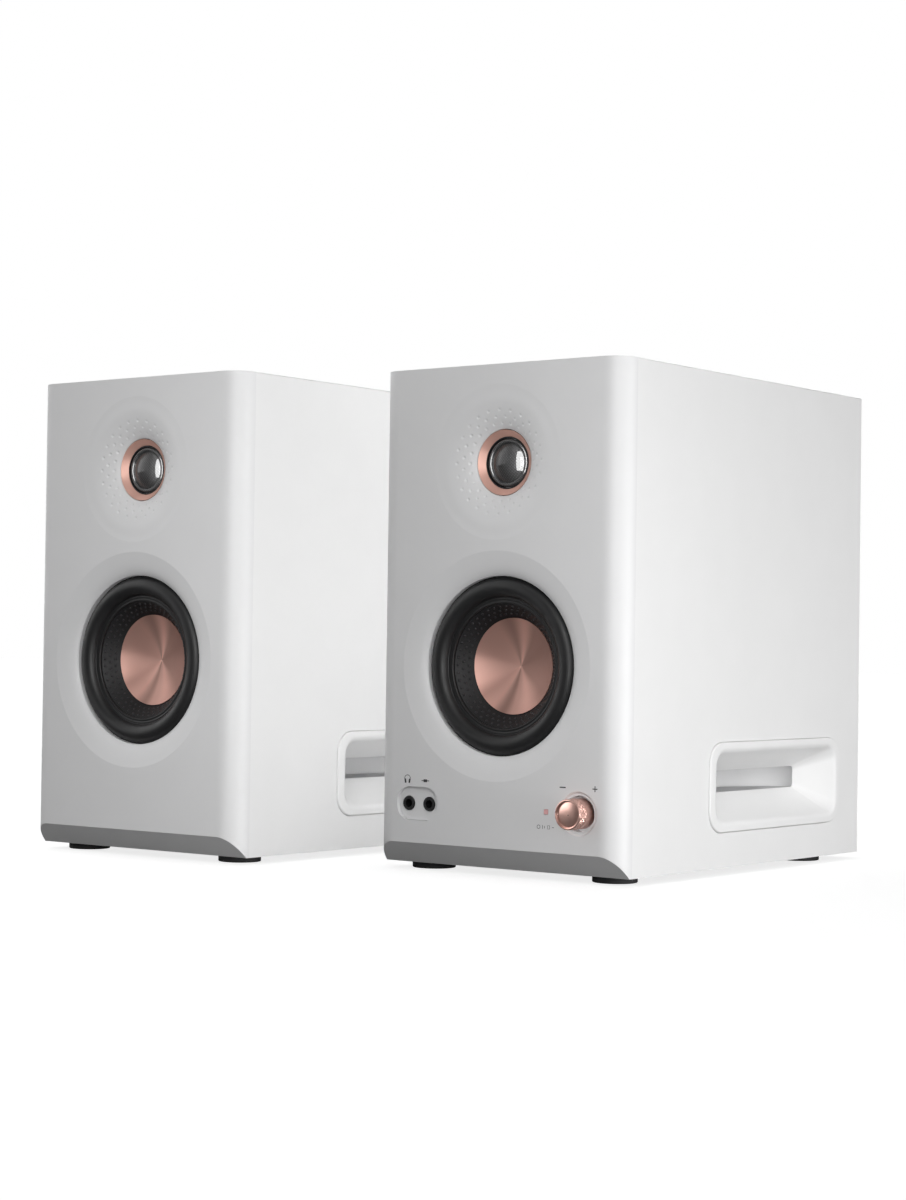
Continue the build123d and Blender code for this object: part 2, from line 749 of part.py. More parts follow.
with BuildPart() as tweeter_motor:
    gap_mid_radius = dome_radius - dome_thickness / 2
    motor_front_y = baffle_depth
    gap_depth = dome_y + tweeter_coil_length + 3 * moving_gap - motor_front_y
    with BuildSketch(upright(motor_front_y)):
        with Locations((0, tweeter_z)):
            Circle(tweeter_motor_radius)
    extrude(amount=-(housing_back_y - motor_front_y))
    with BuildSketch(upright(motor_front_y)):
        with Locations((0, tweeter_z)):
            Circle(gap_mid_radius + tweeter_gap_width / 2)
            Circle(gap_mid_radius - tweeter_gap_width / 2, mode=Mode.SUBTRACT)
    extrude(amount=-gap_depth, mode=Mode.SUBTRACT)
finish(tweeter_motor, "tweeter_motor", both_speakers)



def make_screws(seats, facing):
    """Pan-head screws at (x, y, z) seats; facing is 1 when the heads point to the rear."""
    with BuildPart() as screws:
        for x, y, z in seats:
            with BuildSketch(upright(y)):
                with Locations((x, z)):
                    Circle(screw_head_radius)
            extrude(amount=-facing * screw_head_height)
            with BuildSketch(upright(y)):
                with Locations((x, z)):
                    Circle(screw_shank_radius)
            extrude(amount=facing * screw_shank_length)
            with BuildSketch(upright(y + facing * screw_head_height)):
                with Locations((x, z)):
                    RegularPolygon(screw_socket_radius, 4)
            extrude(amount=facing * screw_head_height / 2, mode=Mode.SUBTRACT)
    return screws


woofer_seats = [(x, flange_back_y, z) for x, z in woofer_screw_points]
tweeter_seats = [(x, baffle_depth, z) for x, z in tweeter_screw_points]
finish(make_screws(woofer_seats + tweeter_seats, 1), "driver_screws", both_speakers)

# ================================================================ front controls of the active speaker
shaft_front_y = knob_front_y + knob_dish + knob_front_wall
bushing_bore_radius = shaft_radius + running_gap
bushing_radius = bushing_bore_radius + bushing_wall
bushing_front_y = knob_well_depth + push_travel
encoder_front_y = front_board_y - encoder_depth
plunger_y = encoder_front_y + encoder_depth / 2 - plunger_thickness / 2
cavity_y = plunger_y - moving_gap
cavity_back_y = plunger_y + plunger_thickness + push_travel + moving_gap

with BuildPart() as volume_knob:
    with BuildSketch(level(control_z, knob_x)):
        with BuildLine():
            Polyline((shaft_radius, knob_back_y), (shaft_radius, shaft_front_y), (0, shaft_front_y),
                     (0, knob_front_y + knob_dish), (knob_radius - knob_rim, knob_front_y + knob_dish / 2),
                     (knob_radius - knob_bevel, knob_front_y), (knob_radius, knob_front_y + knob_bevel),
                     (knob_radius, knob_back_y), close=True)
        make_face()
    revolve(axis=turning_axis(control_z, knob_x))
finish(volume_knob, "volume_knob", ("active",))

with BuildPart() as volume_shaft:
    with BuildSketch(upright(shaft_front_y)):
        with Locations((knob_x, control_z)):
            Circle(shaft_radius)
    extrude(amount=-(plunger_y - shaft_front_y))
finish(volume_shaft, "volume_shaft", ("active",))

with BuildPart() as volume_plunger:
    with BuildSketch(upright(plunger_y)):
        with Locations((knob_x, control_z)):
            Circle(plunger_radius)
    extrude(amount=-plunger_thickness)
finish(volume_plunger, "volume_plunger", ("active",))

with BuildPart() as volume_encoder:
    with BuildSketch(upright(encoder_front_y)):
        with Locations((knob_x, control_z)):
            Rectangle(encoder_size, encoder_size)
    extrude(amount=-encoder_depth)
    with BuildSketch(upright(encoder_front_y)):
        with Locations((knob_x, control_z)):
            Circle(bushing_radius)
    extrude(amount=encoder_front_y - bushing_front_y)
    with BuildSketch(upright(bushing_front_y)):
        with Locations((knob_x, control_z)):
            Circle(bushing_bore_radius)
    extrude(amount=-(cavity_y - bushing_front_y), mode=Mode.SUBTRACT)
    with BuildSketch(upright(cavity_y)):
        with Locations((knob_x, control_z)):
            Circle(plunger_radius + moving_gap)
    extrude(amount=-(cavity_back_y - cavity_y), mode=Mode.SUBTRACT)
finish(volume_encoder, "volume_encoder", ("active",))

jack_points = [(jack_x - jack_pitch / 2, control_z), (jack_x + jack_pitch / 2, control_z)]
with BuildPart() as front_jack_plate:
    with BuildSketch(upright(pill_depth)):
        with Locations((jack_x, control_z)):
            RectangleRounded(pill_length - 2 * joint_gap, pill_height - 2 * joint_gap,
                             pill_corner_radius - joint_gap)
        with Locations(*jack_points):
            Circle(jack_rim_radius + joint_gap, mode=Mode.SUBTRACT)
    extrude(amount=-pill_plate)
finish(front_jack_plate, "front_jack_plate", ("active",))

with BuildPart() as front_jacks:
    jack_front_y = pill_depth - edge_radius / 2
    jack_body_y = baffle_depth + edge_radius / 2
    with BuildSketch(upright(jack_front_y)):
        with Locations(*jack_points):
            Circle(jack_rim_radius)
    extrude(amount=-(jack_body_y - jack_front_y))
    with BuildSketch(upright(jack_body_y)):
        with Locations(*jack_points):
            Rectangle(jack_body_width, jack_body_height)
    extrude(amount=-(front_board_y - jack_body_y))
    with BuildSketch(upright(jack_front_y)):
        with Locations(*jack_points):
            Circle(jack_bore_radius)
    extrude(amount=-jack_bore_length, mode=Mode.SUBTRACT)
finish(front_jacks, "front_jacks", ("active",))

with BuildPart() as status_led:
    with BuildSketch(upright(0)):
        with Locations((led_x, control_z)):
            Rectangle(led_size, led_size)
    extrude(amount=-front_board_y)
finish(status_led, "status_led", ("active",))

with BuildPart() as front_board:
    with BuildSketch(upright(front_board_y)):
        with Locations((0, front_board_low_z + front_board_height / 2)):
            Rectangle(2 * front_board_half_width, front_board_height)
    extrude(amount=-board_thickness)
finish(front_board, "front_board", ("active",))

# ================================================================ rear of the active speaker
line_points = (line_z - line_pitch / 2, line_z + line_pitch / 2)
rca_points = [(rca_x, z) for z in line_points]
trs_points = [(trs_x, z) for z in line_points]
tone_points = {"treble": (-tone_x, tone_z), "bass": (tone_x, tone_z)}
link_point = (0, link_z)
trs_neck_radius = trs_bore_radius + trs_neck_wall

with BuildPart() as rear_panel:
    with BuildSketch(upright(cabinet_depth)):
        with Locations((0, panel_mid_z)):
            RectangleRounded(panel_width, panel_height, panel_corner_radius)
        with Locations(*panel_screw_points()):
            Circle(screw_shank_radius + joint_gap, mode=Mode.SUBTRACT)
        with Locations(*rca_points, link_point):
            Circle(rca_radius + joint_gap, mode=Mode.SUBTRACT)
        with Locations(*trs_points):
            Circle(trs_neck_radius + joint_gap, mode=Mode.SUBTRACT)
        with Locations(*tone_points.values()):
            Circle(tone_spindle_radius + moving_gap, mode=Mode.SUBTRACT)
        with Locations((0, power_z)):
            Rectangle(module_width + 2 * joint_gap, module_height + 2 * joint_gap, mode=Mode.SUBTRACT)
    extrude(amount=-panel_plate)
finish(rear_panel, "rear_panel", ("active",))

panel_seats = [(x, panel_face_y, z) for x, z in panel_screw_points()]
finish(make_screws(panel_seats, 1), "rear_panel_screws", ("active",))

with BuildPart() as amplifier_board:
    board_mid_z = amp_board_low_z + amp_board_height / 2
    trs_window = trs_body_size + 2 * moving_gap
    with BuildSketch(upright(amp_board_y)):
        with Locations((0, board_mid_z)):
            Rectangle(amp_board_width, amp_board_height)
        with Locations((trs_x, line_z)):
            Rectangle(trs_window, line_pitch + trs_window, mode=Mode.SUBTRACT)
    extrude(amount=-board_thickness)
    sink_z = amp_board_low_z + heat_sink_height
    with BuildSketch(upright(amp_board_y)):
        with Locations((0, sink_z)):
            Rectangle(heat_sink_width, heat_sink_height)
    extrude(amount=heat_sink_base)
    with BuildSketch(upright(amp_board_y - heat_sink_base)):
        with Locations((0, sink_z)):
            with GridLocations(heat_sink_width / heat_sink_fins, 0, heat_sink_fins, 1):
                Rectangle(heat_sink_width / heat_sink_fins / 3, heat_sink_height)
    extrude(amount=heat_sink_depth - heat_sink_base)
    with BuildSketch(upright(amp_board_y)):
        with Locations((-amp_board_width / 4, line_z)):
            with GridLocations(capacitor_pitch, capacitor_pitch, 2, 2):
                Circle(capacitor_radius)
    extrude(amount=capacitor_length)
finish(amplifier_board, "amplifier_board", ("active",))

with BuildPart() as transformer:
    with Locations((transformer_x, transformer_y, inner_base + core_height / 2)):
        Box(core_width, core_length, core_height)
        Box(bobbin_width, bobbin_length, bobbin_height)
finish(transformer, "transformer", ("active",))

module_face_y = panel_face_y + module_bezel
rocker_pivot_y = module_face_y - rocker_valley
rocker_well_height = rocker_height + 2 * rocker_end_gap
with BuildPart() as power_inlet_module:
    with BuildSketch(upright(module_face_y)):
        with Locations((0, power_z)):
            RectangleRounded(module_width + 2 * module_overlap, module_height + 2 * module_overlap,
                             module_overlap)
    extrude(amount=module_bezel)
    with BuildSketch(upright(panel_face_y)):
        with Locations((0, power_z)):
            Rectangle(module_width, module_height)
    extrude(amount=module_depth)
    with BuildSketch(upright(module_face_y)):
        with Locations((inlet_x, power_z)):
            RectangleRounded(inlet_cavity_width, inlet_cavity_height, inlet_cavity_height / 2 - joint_gap)
        with Locations((inlet_x - inlet_pin_pitch / 2, power_z), (inlet_x + inlet_pin_pitch / 2, power_z)):
            Circle(inlet_pin_radius, mode=Mode.SUBTRACT)
    extrude(amount=inlet_cavity_depth, mode=Mode.SUBTRACT)
    with BuildSketch(upright(module_face_y)):
        with Locations((inlet_x, power_z)):
            RectangleRounded(inlet_cavity_width, inlet_cavity_height, inlet_cavity_height / 2 - joint_gap)
    extrude(amount=inlet_cavity_depth - inlet_pin_length, mode=Mode.SUBTRACT)
    with BuildSketch(upright(module_face_y)):
        with Locations((switch_x, power_z)):
            Rectangle(rocker_width + 2 * moving_gap, rocker_well_height)
    extrude(amount=rocker_well_depth, mode=Mode.SUBTRACT)
    with BuildSketch(Plane.YZ.offset(switch_x - rocker_width / 2 - rocker_axle_length - moving_gap)):
        with Locations((rocker_pivot_y, power_z)):
            Circle(rocker_axle_radius + running_gap)
    extrude(amount=rocker_width + 2 * rocker_axle_length + 2 * moving_gap, mode=Mode.SUBTRACT)
finish(power_inlet_module, "power_inlet_module", ("active",))

with BuildPart() as power_rocker:
    tilted = Plane(origin=(switch_x, rocker_pivot_y, power_z), x_dir=(0, 1, 0),
                   z_dir=(1, 0, 0)).rotated((rocker_tilt, 0, 0))
    with BuildSketch(tilted):
        with BuildLine():
            Polyline((rocker_valley + rocker_rise, -rocker_height / 2), (rocker_valley, 0),
                     (rocker_valley + rocker_rise, rocker_height / 2),
                     (-rocker_root, rocker_root_half), (-rocker_root, -rocker_root_half), close=True)
        make_face()
    extrude(amount=rocker_width / 2, both=True)
    with BuildSketch(tilted):
        Circle(rocker_axle_radius)
    extrude(amount=rocker_width / 2 + rocker_axle_length, both=True)
finish(power_rocker, "power_rocker", ("active",))


def make_rca_jacks(points):
    """Phono jacks: a square body behind the panel, a flange, a barrel and its centre hole."""
    with BuildPart() as jacks:
        with BuildSketch(upright(cabinet_depth)):
            with Locations(*points):
                Rectangle(rca_body_size, rca_body_size)
        extrude(amount=amp_board_gap)
        with BuildSketch(upright(panel_face_y + rca_length)):
            with Locations(*points):
                Circle(rca_radius)
        extrude(amount=rca_length + panel_plate)
        with BuildSketch(upright(panel_face_y)):
            with Locations(*points):
                Circle(rca_flange_radius)
                Circle(rca_radius, mode=Mode.SUBTRACT)
        extrude(amount=-rca_flange_thickness)
        with BuildSketch(upright(panel_face_y + rca_length)):
            with Locations(*points):
                Circle(rca_bore_radius)
        extrude(amount=rca_length + panel_plate, mode=Mode.SUBTRACT)
    return jacks


finish(make_rca_jacks(rca_points), "rca_jacks", ("active",))
finish(make_rca_jacks([link_point]), "link_jack", ("active",))
finish(make_rca_jacks([(0, terminal_z)]), "link_jack", ("passive",))

with BuildPart() as trs_jacks:
    trs_face_y = panel_face_y + trs_nut_height
    with BuildSketch(upright(cabinet_depth)):
        with Locations(*trs_points):
            Rectangle(trs_body_size, trs_body_size)
    extrude(amount=trs_bore_length)
    with BuildSketch(upright(trs_face_y)):
        with Locations(*trs_points):
            Circle(trs_neck_radius)
    extrude(amount=trs_nut_height + panel_plate)
    with BuildSketch(upright(panel_face_y)):
        with Locations(*trs_points):
            RegularPolygon(trs_nut_radius, nut_sides)
            Circle(trs_neck_radius, mode=Mode.SUBTRACT)
    extrude(amount=-trs_nut_height)
    with BuildSketch(upright(trs_face_y)):
        with Locations(*trs_points):
            Circle(trs_bore_radius)
    extrude(amount=trs_bore_length, mode=Mode.SUBTRACT)
finish(trs_jacks, "trs_jacks", ("active",))

spindle_tip_y = panel_face_y + tone_knob_gap - tone_spindle_length
with BuildPart() as tone_pots:
    with BuildSketch(upright(cabinet_depth)):
        with Locations(*tone_points.values()):
            Rectangle(pot_size, pot_size)
    extrude(amount=pot_depth)
    with BuildSketch(upright(cabinet_depth)):
        with Locations(*tone_points.values()):
            Circle(tone_spindle_radius + running_gap)
    extrude(amount=cabinet_depth - spindle_tip_y + moving_gap, mode=Mode.SUBTRACT)
finish(tone_pots, "tone_pots", ("active",))

for tone, (tone_centre_x, tone_centre_z) in tone_points.items():
    knob_base_y = panel_face_y + tone_knob_gap
    with BuildPart() as tone_knob:
        with BuildSketch(upright(knob_base_y)):
            with Locations((tone_centre_x, tone_centre_z)):
                Circle(tone_knob_radius)
        extrude(amount=-tone_knob_length)
        fillet(tone_knob.faces().sort_by(Axis.Y)[-1].edges(), edge_radius)
        with BuildSketch(upright(knob_base_y + tone_knob_length)):
            with Locations((tone_centre_x, tone_centre_z + pointer_radius)):
                Rectangle(pointer_width, pointer_length)
        extrude(amount=pointer_width / 2, mode=Mode.SUBTRACT)
        with BuildSketch(upright(knob_base_y)):
            with Locations((tone_centre_x, tone_centre_z)):
                Circle(tone_spindle_radius)
        extrude(amount=tone_spindle_length)
    finish(tone_knob, f"{tone}_knob", ("active",))

# ================================================================ rear of the passive speaker
with BuildPart() as terminal_plate:
    with BuildSketch(upright(cabinet_depth)):
        with Locations((0, terminal_z)):
            RectangleRounded(terminal_width, terminal_height, panel_corner_radius)
    extrude(amount=-terminal_flange)
    with BuildSketch(upright(cabinet_depth)):
        with Locations((0, terminal_z)):
            Rectangle(terminal_width - 2 * terminal_overlap - 2 * joint_gap,
                      terminal_height - 2 * terminal_overlap - 2 * joint_gap)
            Rectangle(rca_body_size + 2 * joint_gap, rca_body_size + 2 * joint_gap, mode=Mode.SUBTRACT)
    extrude(amount=terminal_plug)
    with BuildSketch(upright(cabinet_depth)):
        with Locations((0, terminal_z)):
            Circle(rca_radius + joint_gap)
    extrude(amount=-terminal_flange, mode=Mode.SUBTRACT)
finish(terminal_plate, "terminal_plate", ("passive",))
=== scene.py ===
import bpy
import json
import math
from mathutils import Matrix, Vector
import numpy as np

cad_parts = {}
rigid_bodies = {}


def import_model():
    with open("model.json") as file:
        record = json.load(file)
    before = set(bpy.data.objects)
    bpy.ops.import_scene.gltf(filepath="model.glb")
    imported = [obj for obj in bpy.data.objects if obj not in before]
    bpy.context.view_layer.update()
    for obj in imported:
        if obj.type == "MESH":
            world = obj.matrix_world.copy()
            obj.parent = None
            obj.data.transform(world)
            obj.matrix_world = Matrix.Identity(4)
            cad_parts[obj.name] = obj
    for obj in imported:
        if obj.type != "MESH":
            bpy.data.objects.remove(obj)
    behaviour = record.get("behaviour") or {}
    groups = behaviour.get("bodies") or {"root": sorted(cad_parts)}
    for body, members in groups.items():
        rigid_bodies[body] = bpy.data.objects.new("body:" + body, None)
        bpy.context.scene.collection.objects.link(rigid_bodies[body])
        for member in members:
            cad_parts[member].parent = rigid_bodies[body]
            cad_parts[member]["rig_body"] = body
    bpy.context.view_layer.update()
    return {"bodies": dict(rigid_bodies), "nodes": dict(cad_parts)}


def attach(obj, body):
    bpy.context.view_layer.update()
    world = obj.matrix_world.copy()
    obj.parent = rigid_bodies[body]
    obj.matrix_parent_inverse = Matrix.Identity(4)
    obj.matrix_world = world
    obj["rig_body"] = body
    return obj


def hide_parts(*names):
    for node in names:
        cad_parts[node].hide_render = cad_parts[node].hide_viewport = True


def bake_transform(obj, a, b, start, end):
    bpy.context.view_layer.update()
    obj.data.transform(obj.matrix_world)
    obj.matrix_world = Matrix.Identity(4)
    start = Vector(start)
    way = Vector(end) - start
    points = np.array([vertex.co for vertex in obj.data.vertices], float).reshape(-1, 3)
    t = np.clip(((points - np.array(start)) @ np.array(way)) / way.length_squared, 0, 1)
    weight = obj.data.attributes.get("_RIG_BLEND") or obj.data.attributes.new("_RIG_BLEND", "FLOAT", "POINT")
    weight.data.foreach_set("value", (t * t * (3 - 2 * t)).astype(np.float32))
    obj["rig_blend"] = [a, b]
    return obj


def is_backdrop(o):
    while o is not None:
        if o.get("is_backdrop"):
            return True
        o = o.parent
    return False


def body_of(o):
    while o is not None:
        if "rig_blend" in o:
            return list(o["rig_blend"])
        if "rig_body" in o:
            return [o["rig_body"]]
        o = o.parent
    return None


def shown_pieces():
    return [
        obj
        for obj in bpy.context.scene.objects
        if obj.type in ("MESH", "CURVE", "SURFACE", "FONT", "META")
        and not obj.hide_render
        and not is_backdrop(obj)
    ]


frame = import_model()

MM = 0.001
TURN = 2 * math.pi

# ------------------------------------------------------------ where each speaker stands, in mm
PLACES = {"active": (86.3, -87.9), "passive": (-87.1, -128.1)}
WOOFER_Z = 88.7
TWEETER_Z = 174.7
KNOB_X, KNOB_Z = 43.7, 29.0


def at(speaker, x, y, z):
    """A point in a speaker's own frame (mm), as metres in the shared frame."""
    px, py = PLACES[speaker]
    return Vector(((x + px) * MM, (y + py) * MM, z * MM))


def ease(t):
    """Eases from 0 to 1, flat at both ends."""
    t = min(1, max(0, t))
    return t * t * (3 - 2 * t)


# ------------------------------------------------------------ materials
NOISE_LOW, NOISE_HIGH = 0.3, 0.7  # the levels between which a noise mostly stays


def srgb(value):
    """Linear value of an 8-bit sRGB level."""
    v = value / 255
    return v / 12.92 if v <= 0.04045 else ((v + 0.055) / 1.055) ** 2.4


def colour(r, g, b):
    return (srgb(r), srgb(g), srgb(b), 1)


def grey(level):
    return (level, level, level, 1)


class Finish:
    """A principled material with helpers that add procedural detail in object space, and painted highlights."""

    def __init__(self, name, base, rough, metal=0.0, spec=0.5, coat=0.0, coat_rough=0.1, aniso=0.0):
        self.mat = bpy.data.materials.new(name)
        self.mat.use_nodes = True
        self.mat.diffuse_color = base
        self.nodes = self.mat.node_tree.nodes
        self.links = self.mat.node_tree.links
        self.shader = self.nodes["Principled BSDF"]
        values = {"Base Color": base, "Roughness": rough, "Metallic": metal, "Specular IOR Level": spec,
                  "Coat Weight": coat, "Coat Roughness": coat_rough, "Anisotropic": aniso}
        for socket, value in values.items():
            self.shader.inputs[socket].default_value = value
        self.base, self.rough = base, rough
        self.height = None
        self.place = self.nodes.new("ShaderNodeTexCoord").outputs["Object"]
        mats[name] = self.mat

    def noise(self, size, detail=3.0):
        """Noise whose features measure about size mm."""
        tex = self.nodes.new("ShaderNodeTexNoise")
        tex.inputs["Scale"].default_value = 1 / (size * MM)
        tex.inputs["Detail"].default_value = detail
        self.links.new(self.place, tex.inputs["Vector"])
        return tex.outputs["Fac"]

    def math(self, kind, a, b=None, c=None):
        node = self.nodes.new("ShaderNodeMath")
        node.operation = kind
        for socket, value in zip(node.inputs, (a, b, c)):
            if value is None:
                continue
            if isinstance(value, (int, float)):
                socket.default_value = value
            else:
                self.links.new(value, socket)
        return node.outputs[0]

    def axes(self):
        node = self.nodes.new("ShaderNodeSeparateXYZ")
        self.links.new(self.place, node.inputs[0])
        return node.outputs

    def offset(self, centre):
        """Distances in metres to the right of and above a front-to-back axis through centre."""
        x, _, z = self.axes()
        return self.math("SUBTRACT", x, centre.x), self.math("SUBTRACT", z, centre.z)

    def radius(self, centre):
        dx, dz = self.offset(centre)
        squares = self.math("ADD", self.math("MULTIPLY", dx, dx), self.math("MULTIPLY", dz, dz))
        return self.math("SQRT", squares)

    def angle(self, centre):
        dx, dz = self.offset(centre)
        return self.math("ARCTAN2", dz, dx)

    def wave(self, axis, pitch):
        """A sine along axis 0, 1 or 2 that repeats every pitch mm."""
        return self.math("SINE", self.math("MULTIPLY", self.axes()[axis], TURN / (pitch * MM)))

    def weave(self, pitch):
        """Crossed threads, pitch mm apart, seen from the front."""
        return self.math("MULTIPLY", self.wave(0, pitch), self.wave(2, pitch))

    def vary(self, fac, amount):
        """Makes the base colour run between darker and lighter by amount."""
        ramp = self.nodes.new("ShaderNodeValToRGB")
        low, high = ramp.color_ramp.elements
        low.position, high.position = NOISE_LOW, NOISE_HIGH
        low.color = tuple(max(0, c * (1 - amount)) for c in self.base[:3]) + (1,)
        high.color = tuple(min(1, c * (1 + amount)) for c in self.base[:3]) + (1,)
        self.links.new(fac, ramp.inputs["Fac"])
        self.links.new(ramp.outputs["Color"], self.shader.inputs["Base Color"])

    def paint_highlights_by_angle(self, centre, painted_highlight_sweep):
        """Multiplies the colour by a factor that depends on the angle about centre: a painted highlight and
        painted shade.

        sweep holds (degrees, factor) from -180 to 180. A ramp's colours stop at 1, so the factors
        are halved in it and doubled after it.
        """
        ramp = self.nodes.new("ShaderNodeValToRGB")
        ramp.color_ramp.interpolation = "EASE"
        elements = ramp.color_ramp.elements
        for i, (degrees, factor) in enumerate(painted_highlight_sweep):
            stop = elements[i] if i < 2 else elements.new(1)
            stop.position = (degrees + 180) / 360
            stop.color = grey(factor / 2)
        turn = self.math("MULTIPLY_ADD", self.angle(centre), 1 / TURN, 0.5)
        self.links.new(turn, ramp.inputs["Fac"])
        double = self.nodes.new("ShaderNodeVectorMath")
        double.operation = "SCALE"
        double.inputs["Scale"].default_value = 2
        self.links.new(ramp.outputs["Color"], double.inputs[0])
        product = self.nodes.new("ShaderNodeVectorMath")
        product.operation = "MULTIPLY"
        base = self.shader.inputs["Base Color"]
        self.links.new(base.links[0].from_socket, product.inputs[0])
        self.links.new(double.outputs[0], product.inputs[1])
        self.links.new(product.outputs[0], base)

    def gloss(self, fac, amount):
        """Makes the roughness vary by amount either side of its base value."""
        node = self.nodes.new("ShaderNodeMapRange")
        limits = {"From Min": NOISE_LOW, "From Max": NOISE_HIGH,
                  "To Min": self.rough - amount, "To Max": self.rough + amount}
        for socket, value in limits.items():
            node.inputs[socket].default_value = value
        self.links.new(fac, node.inputs["Value"])
        self.links.new(node.outputs[0], self.shader.inputs["Roughness"])

    def relief(self, fac, depth, strength):
        """Adds a bump of the given depth in mm."""
        bump = self.nodes.new("ShaderNodeBump")
        bump.inputs["Strength"].default_value = strength
        bump.inputs["Distance"].default_value = depth * MM
        self.links.new(fac, bump.inputs["Height"])
        if self.height is not None:
            self.links.new(self.height, bump.inputs["Normal"])
        self.links.new(bump.outputs[0], self.shader.inputs["Normal"])
        self.height = bump.outputs[0]


def moulded(name, base, rough, grain, depth, amount, metal=0.0):
    """Plastic, paint, rubber or plated metal with a fine even texture and slight handling marks."""
    blotch, smear = 18, 7  # mm
    f = Finish(name, base, rough, metal=metal)
    f.vary(f.noise(blotch, 4), amount)
    f.gloss(f.noise(smear, 5), min(0.06, rough * 0.2))
    f.relief(f.noise(grain, 2), depth, 0.35)


def spun(name, base, rough, centre, groove, metal, painted_highlight_sweep=(), aniso=0.0):
    """Anodised metal turned about a front-to-back axis, with circular tool marks groove mm apart."""
    f = Finish(name, base, rough, metal=metal, aniso=aniso)
    marks = f.math("MULTIPLY", f.radius(centre), TURN / (groove * MM))
    wander = f.math("MULTIPLY", f.noise(2.0, 2), 3.0)
    grooves = f.math("MULTIPLY_ADD", f.math("SINE", f.math("ADD", marks, wander)), 0.5, 0.5)
    f.relief(grooves, 0.003, 0.3)
    f.gloss(f.noise(4, 3), 0.03)
    f.vary(grooves, 0.03)
    # colour by angle about the axis: painted highlights and painted shade of spun metal
    if painted_highlight_sweep:
        f.paint_highlights_by_angle(centre, painted_highlight_sweep)
    f.shader.inputs["Anisotropic Rotation"].default_value = 0.25
    tangent = f.nodes.new("ShaderNodeTangent")
    tangent.direction_type, tangent.axis = "RADIAL", "Y"
    f.links.new(tangent.outputs[0], f.shader.inputs["Tangent"])


slot_of = {name: node.data.materials[0].name for name, node in frame["nodes"].items()}
for old in list(bpy.data.materials):
    bpy.data.materials.remove(old)
mats = {}

# base colour, roughness, grain in mm, depth of the grain in mm, change of colour, metal
MOULDED = {
    "cabinet_wrap": ((0.83, 0.83, 0.83, 1), 0.42, 0.9, 0.012, 0.008),
    "baffle_plastic": ((0.78, 0.78, 0.785, 1), 0.46, 0.45, 0.012, 0.008),
    "port_plastic": ((0.85, 0.85, 0.85, 1), 0.38, 0.6, 0.008, 0.008),
    # the duct's grey, darker than the flare's, is painted shade inside the port
    "duct_plastic": ((0.66, 0.66, 0.665, 1), 0.5, 0.6, 0.01, 0.03),
    "black_rubber": (colour(38, 38, 39), 0.7, 0.35, 0.05, 0.12),
    "black_steel": (colour(36, 36, 37), 0.45, 0.3, 0.03, 0.1, 0.3),
    "cone_paper": (colour(26, 26, 28), 0.6, 0.28, 0.05, 0.15),
    "plated_steel": ((0.60, 0.60, 0.61, 1), 0.3, 0.8, 0.01, 0.06, 1.0),
    "ferrite": (colour(66, 66, 70), 0.6, 0.25, 0.05, 0.12),
    "black_screw": (colour(40, 40, 42), 0.35, 0.2, 0.02, 0.1, 0.8),
    "black_plastic": (colour(30, 30, 31), 0.45, 0.3, 0.03, 0.1),
    "panel_paint": ((0.76, 0.76, 0.765, 1), 0.5, 0.35, 0.03, 0.015),
    "core_iron": (colour(92, 92, 96), 0.45, 0.5, 0.05, 0.12, 0.8),
    "jack_metal": ((0.66, 0.65, 0.62, 1), 0.22, 0.6, 0.006, 0.05, 1.0),
    "jack_plastic": (colour(24, 24, 25), 0.4, 0.25, 0.02, 0.1),
    "knob_plastic": (colour(34, 34, 35), 0.5, 0.25, 0.03, 0.1),
    "status_light": (colour(232, 178, 178), 0.35, 0.3, 0.01, 0.04),
    "circuit_board": (colour(20, 92, 52), 0.4, 0.6, 0.02, 0.2),
    # the dots' grey, lighter than the cone's, is partly a painted glint; their lower roughness is real gloss
    "cone_gloss": (colour(40, 40, 42), 0.34, 0.2, 0.02, 0.1),
    "print_ink": (colour(62, 62, 64), 0.6, 0.15, 0.01, 0.08),
    "surround_rubber": (colour(33, 33, 34), 0.44, 0.3, 0.02, 0.12),
}
for name, row in MOULDED.items():
    moulded(name, *row)

wire = Finish("copper_wire", (0.72, 0.36, 0.18, 1), 0.3, metal=1.0)
wire.relief(wire.wave(1, 0.25), 0.06, 0.8)
wire.vary(wire.noise(3), 0.12)

cloth = Finish("spider_cloth", (0.55, 0.42, 0.22, 1), 0.85)
cloth.relief(cloth.weave(0.7), 0.12, 0.8)
cloth.vary(cloth.noise(4), 0.1)

silk = Finish("dome_silk", colour(34, 34, 36), 0.55, spec=0.3, coat=1.0, coat_rough=0.08)
threads = silk.weave(1.25)
silk.relief(threads, 0.09, 0.8)
silk.vary(threads, 0.85)

CAP_ROSE = (0.64, 0.375, 0.315, 1)
RING_ROSE = (0.76, 0.45, 0.37, 1)
KNOB_ROSE = (0.80, 0.50, 0.43, 1)
# the cap's colour factors by angle, 0.7 to 1.6: painted highlights and painted shade of its spun finish
CAP_PAINTED_HIGHLIGHTS = ((-180, 1.15), (-125, 1.6), (-104, 0.7), (-90, 1.0), (-70, 1.2), (-35, 0.75), (20, 0.7),
             (55, 0.85), (76, 1.5), (98, 0.85), (120, 1.2), (150, 1.2), (180, 1.15))
for sp in PLACES:
    spun(f"{sp}_cap_metal", CAP_ROSE, 0.42, at(sp, 0, 0, WOOFER_Z), 0.35, 0.6, CAP_PAINTED_HIGHLIGHTS, aniso=0.8)
    spun(f"{sp}_ring_metal", RING_ROSE, 0.42, at(sp, 0, 0, TWEETER_Z), 0.3, 0.35, aniso=0.3)
spun("knob_metal", KNOB_ROSE, 0.3, at("active", KNOB_X, 0, KNOB_Z), 0.5, 0.7)

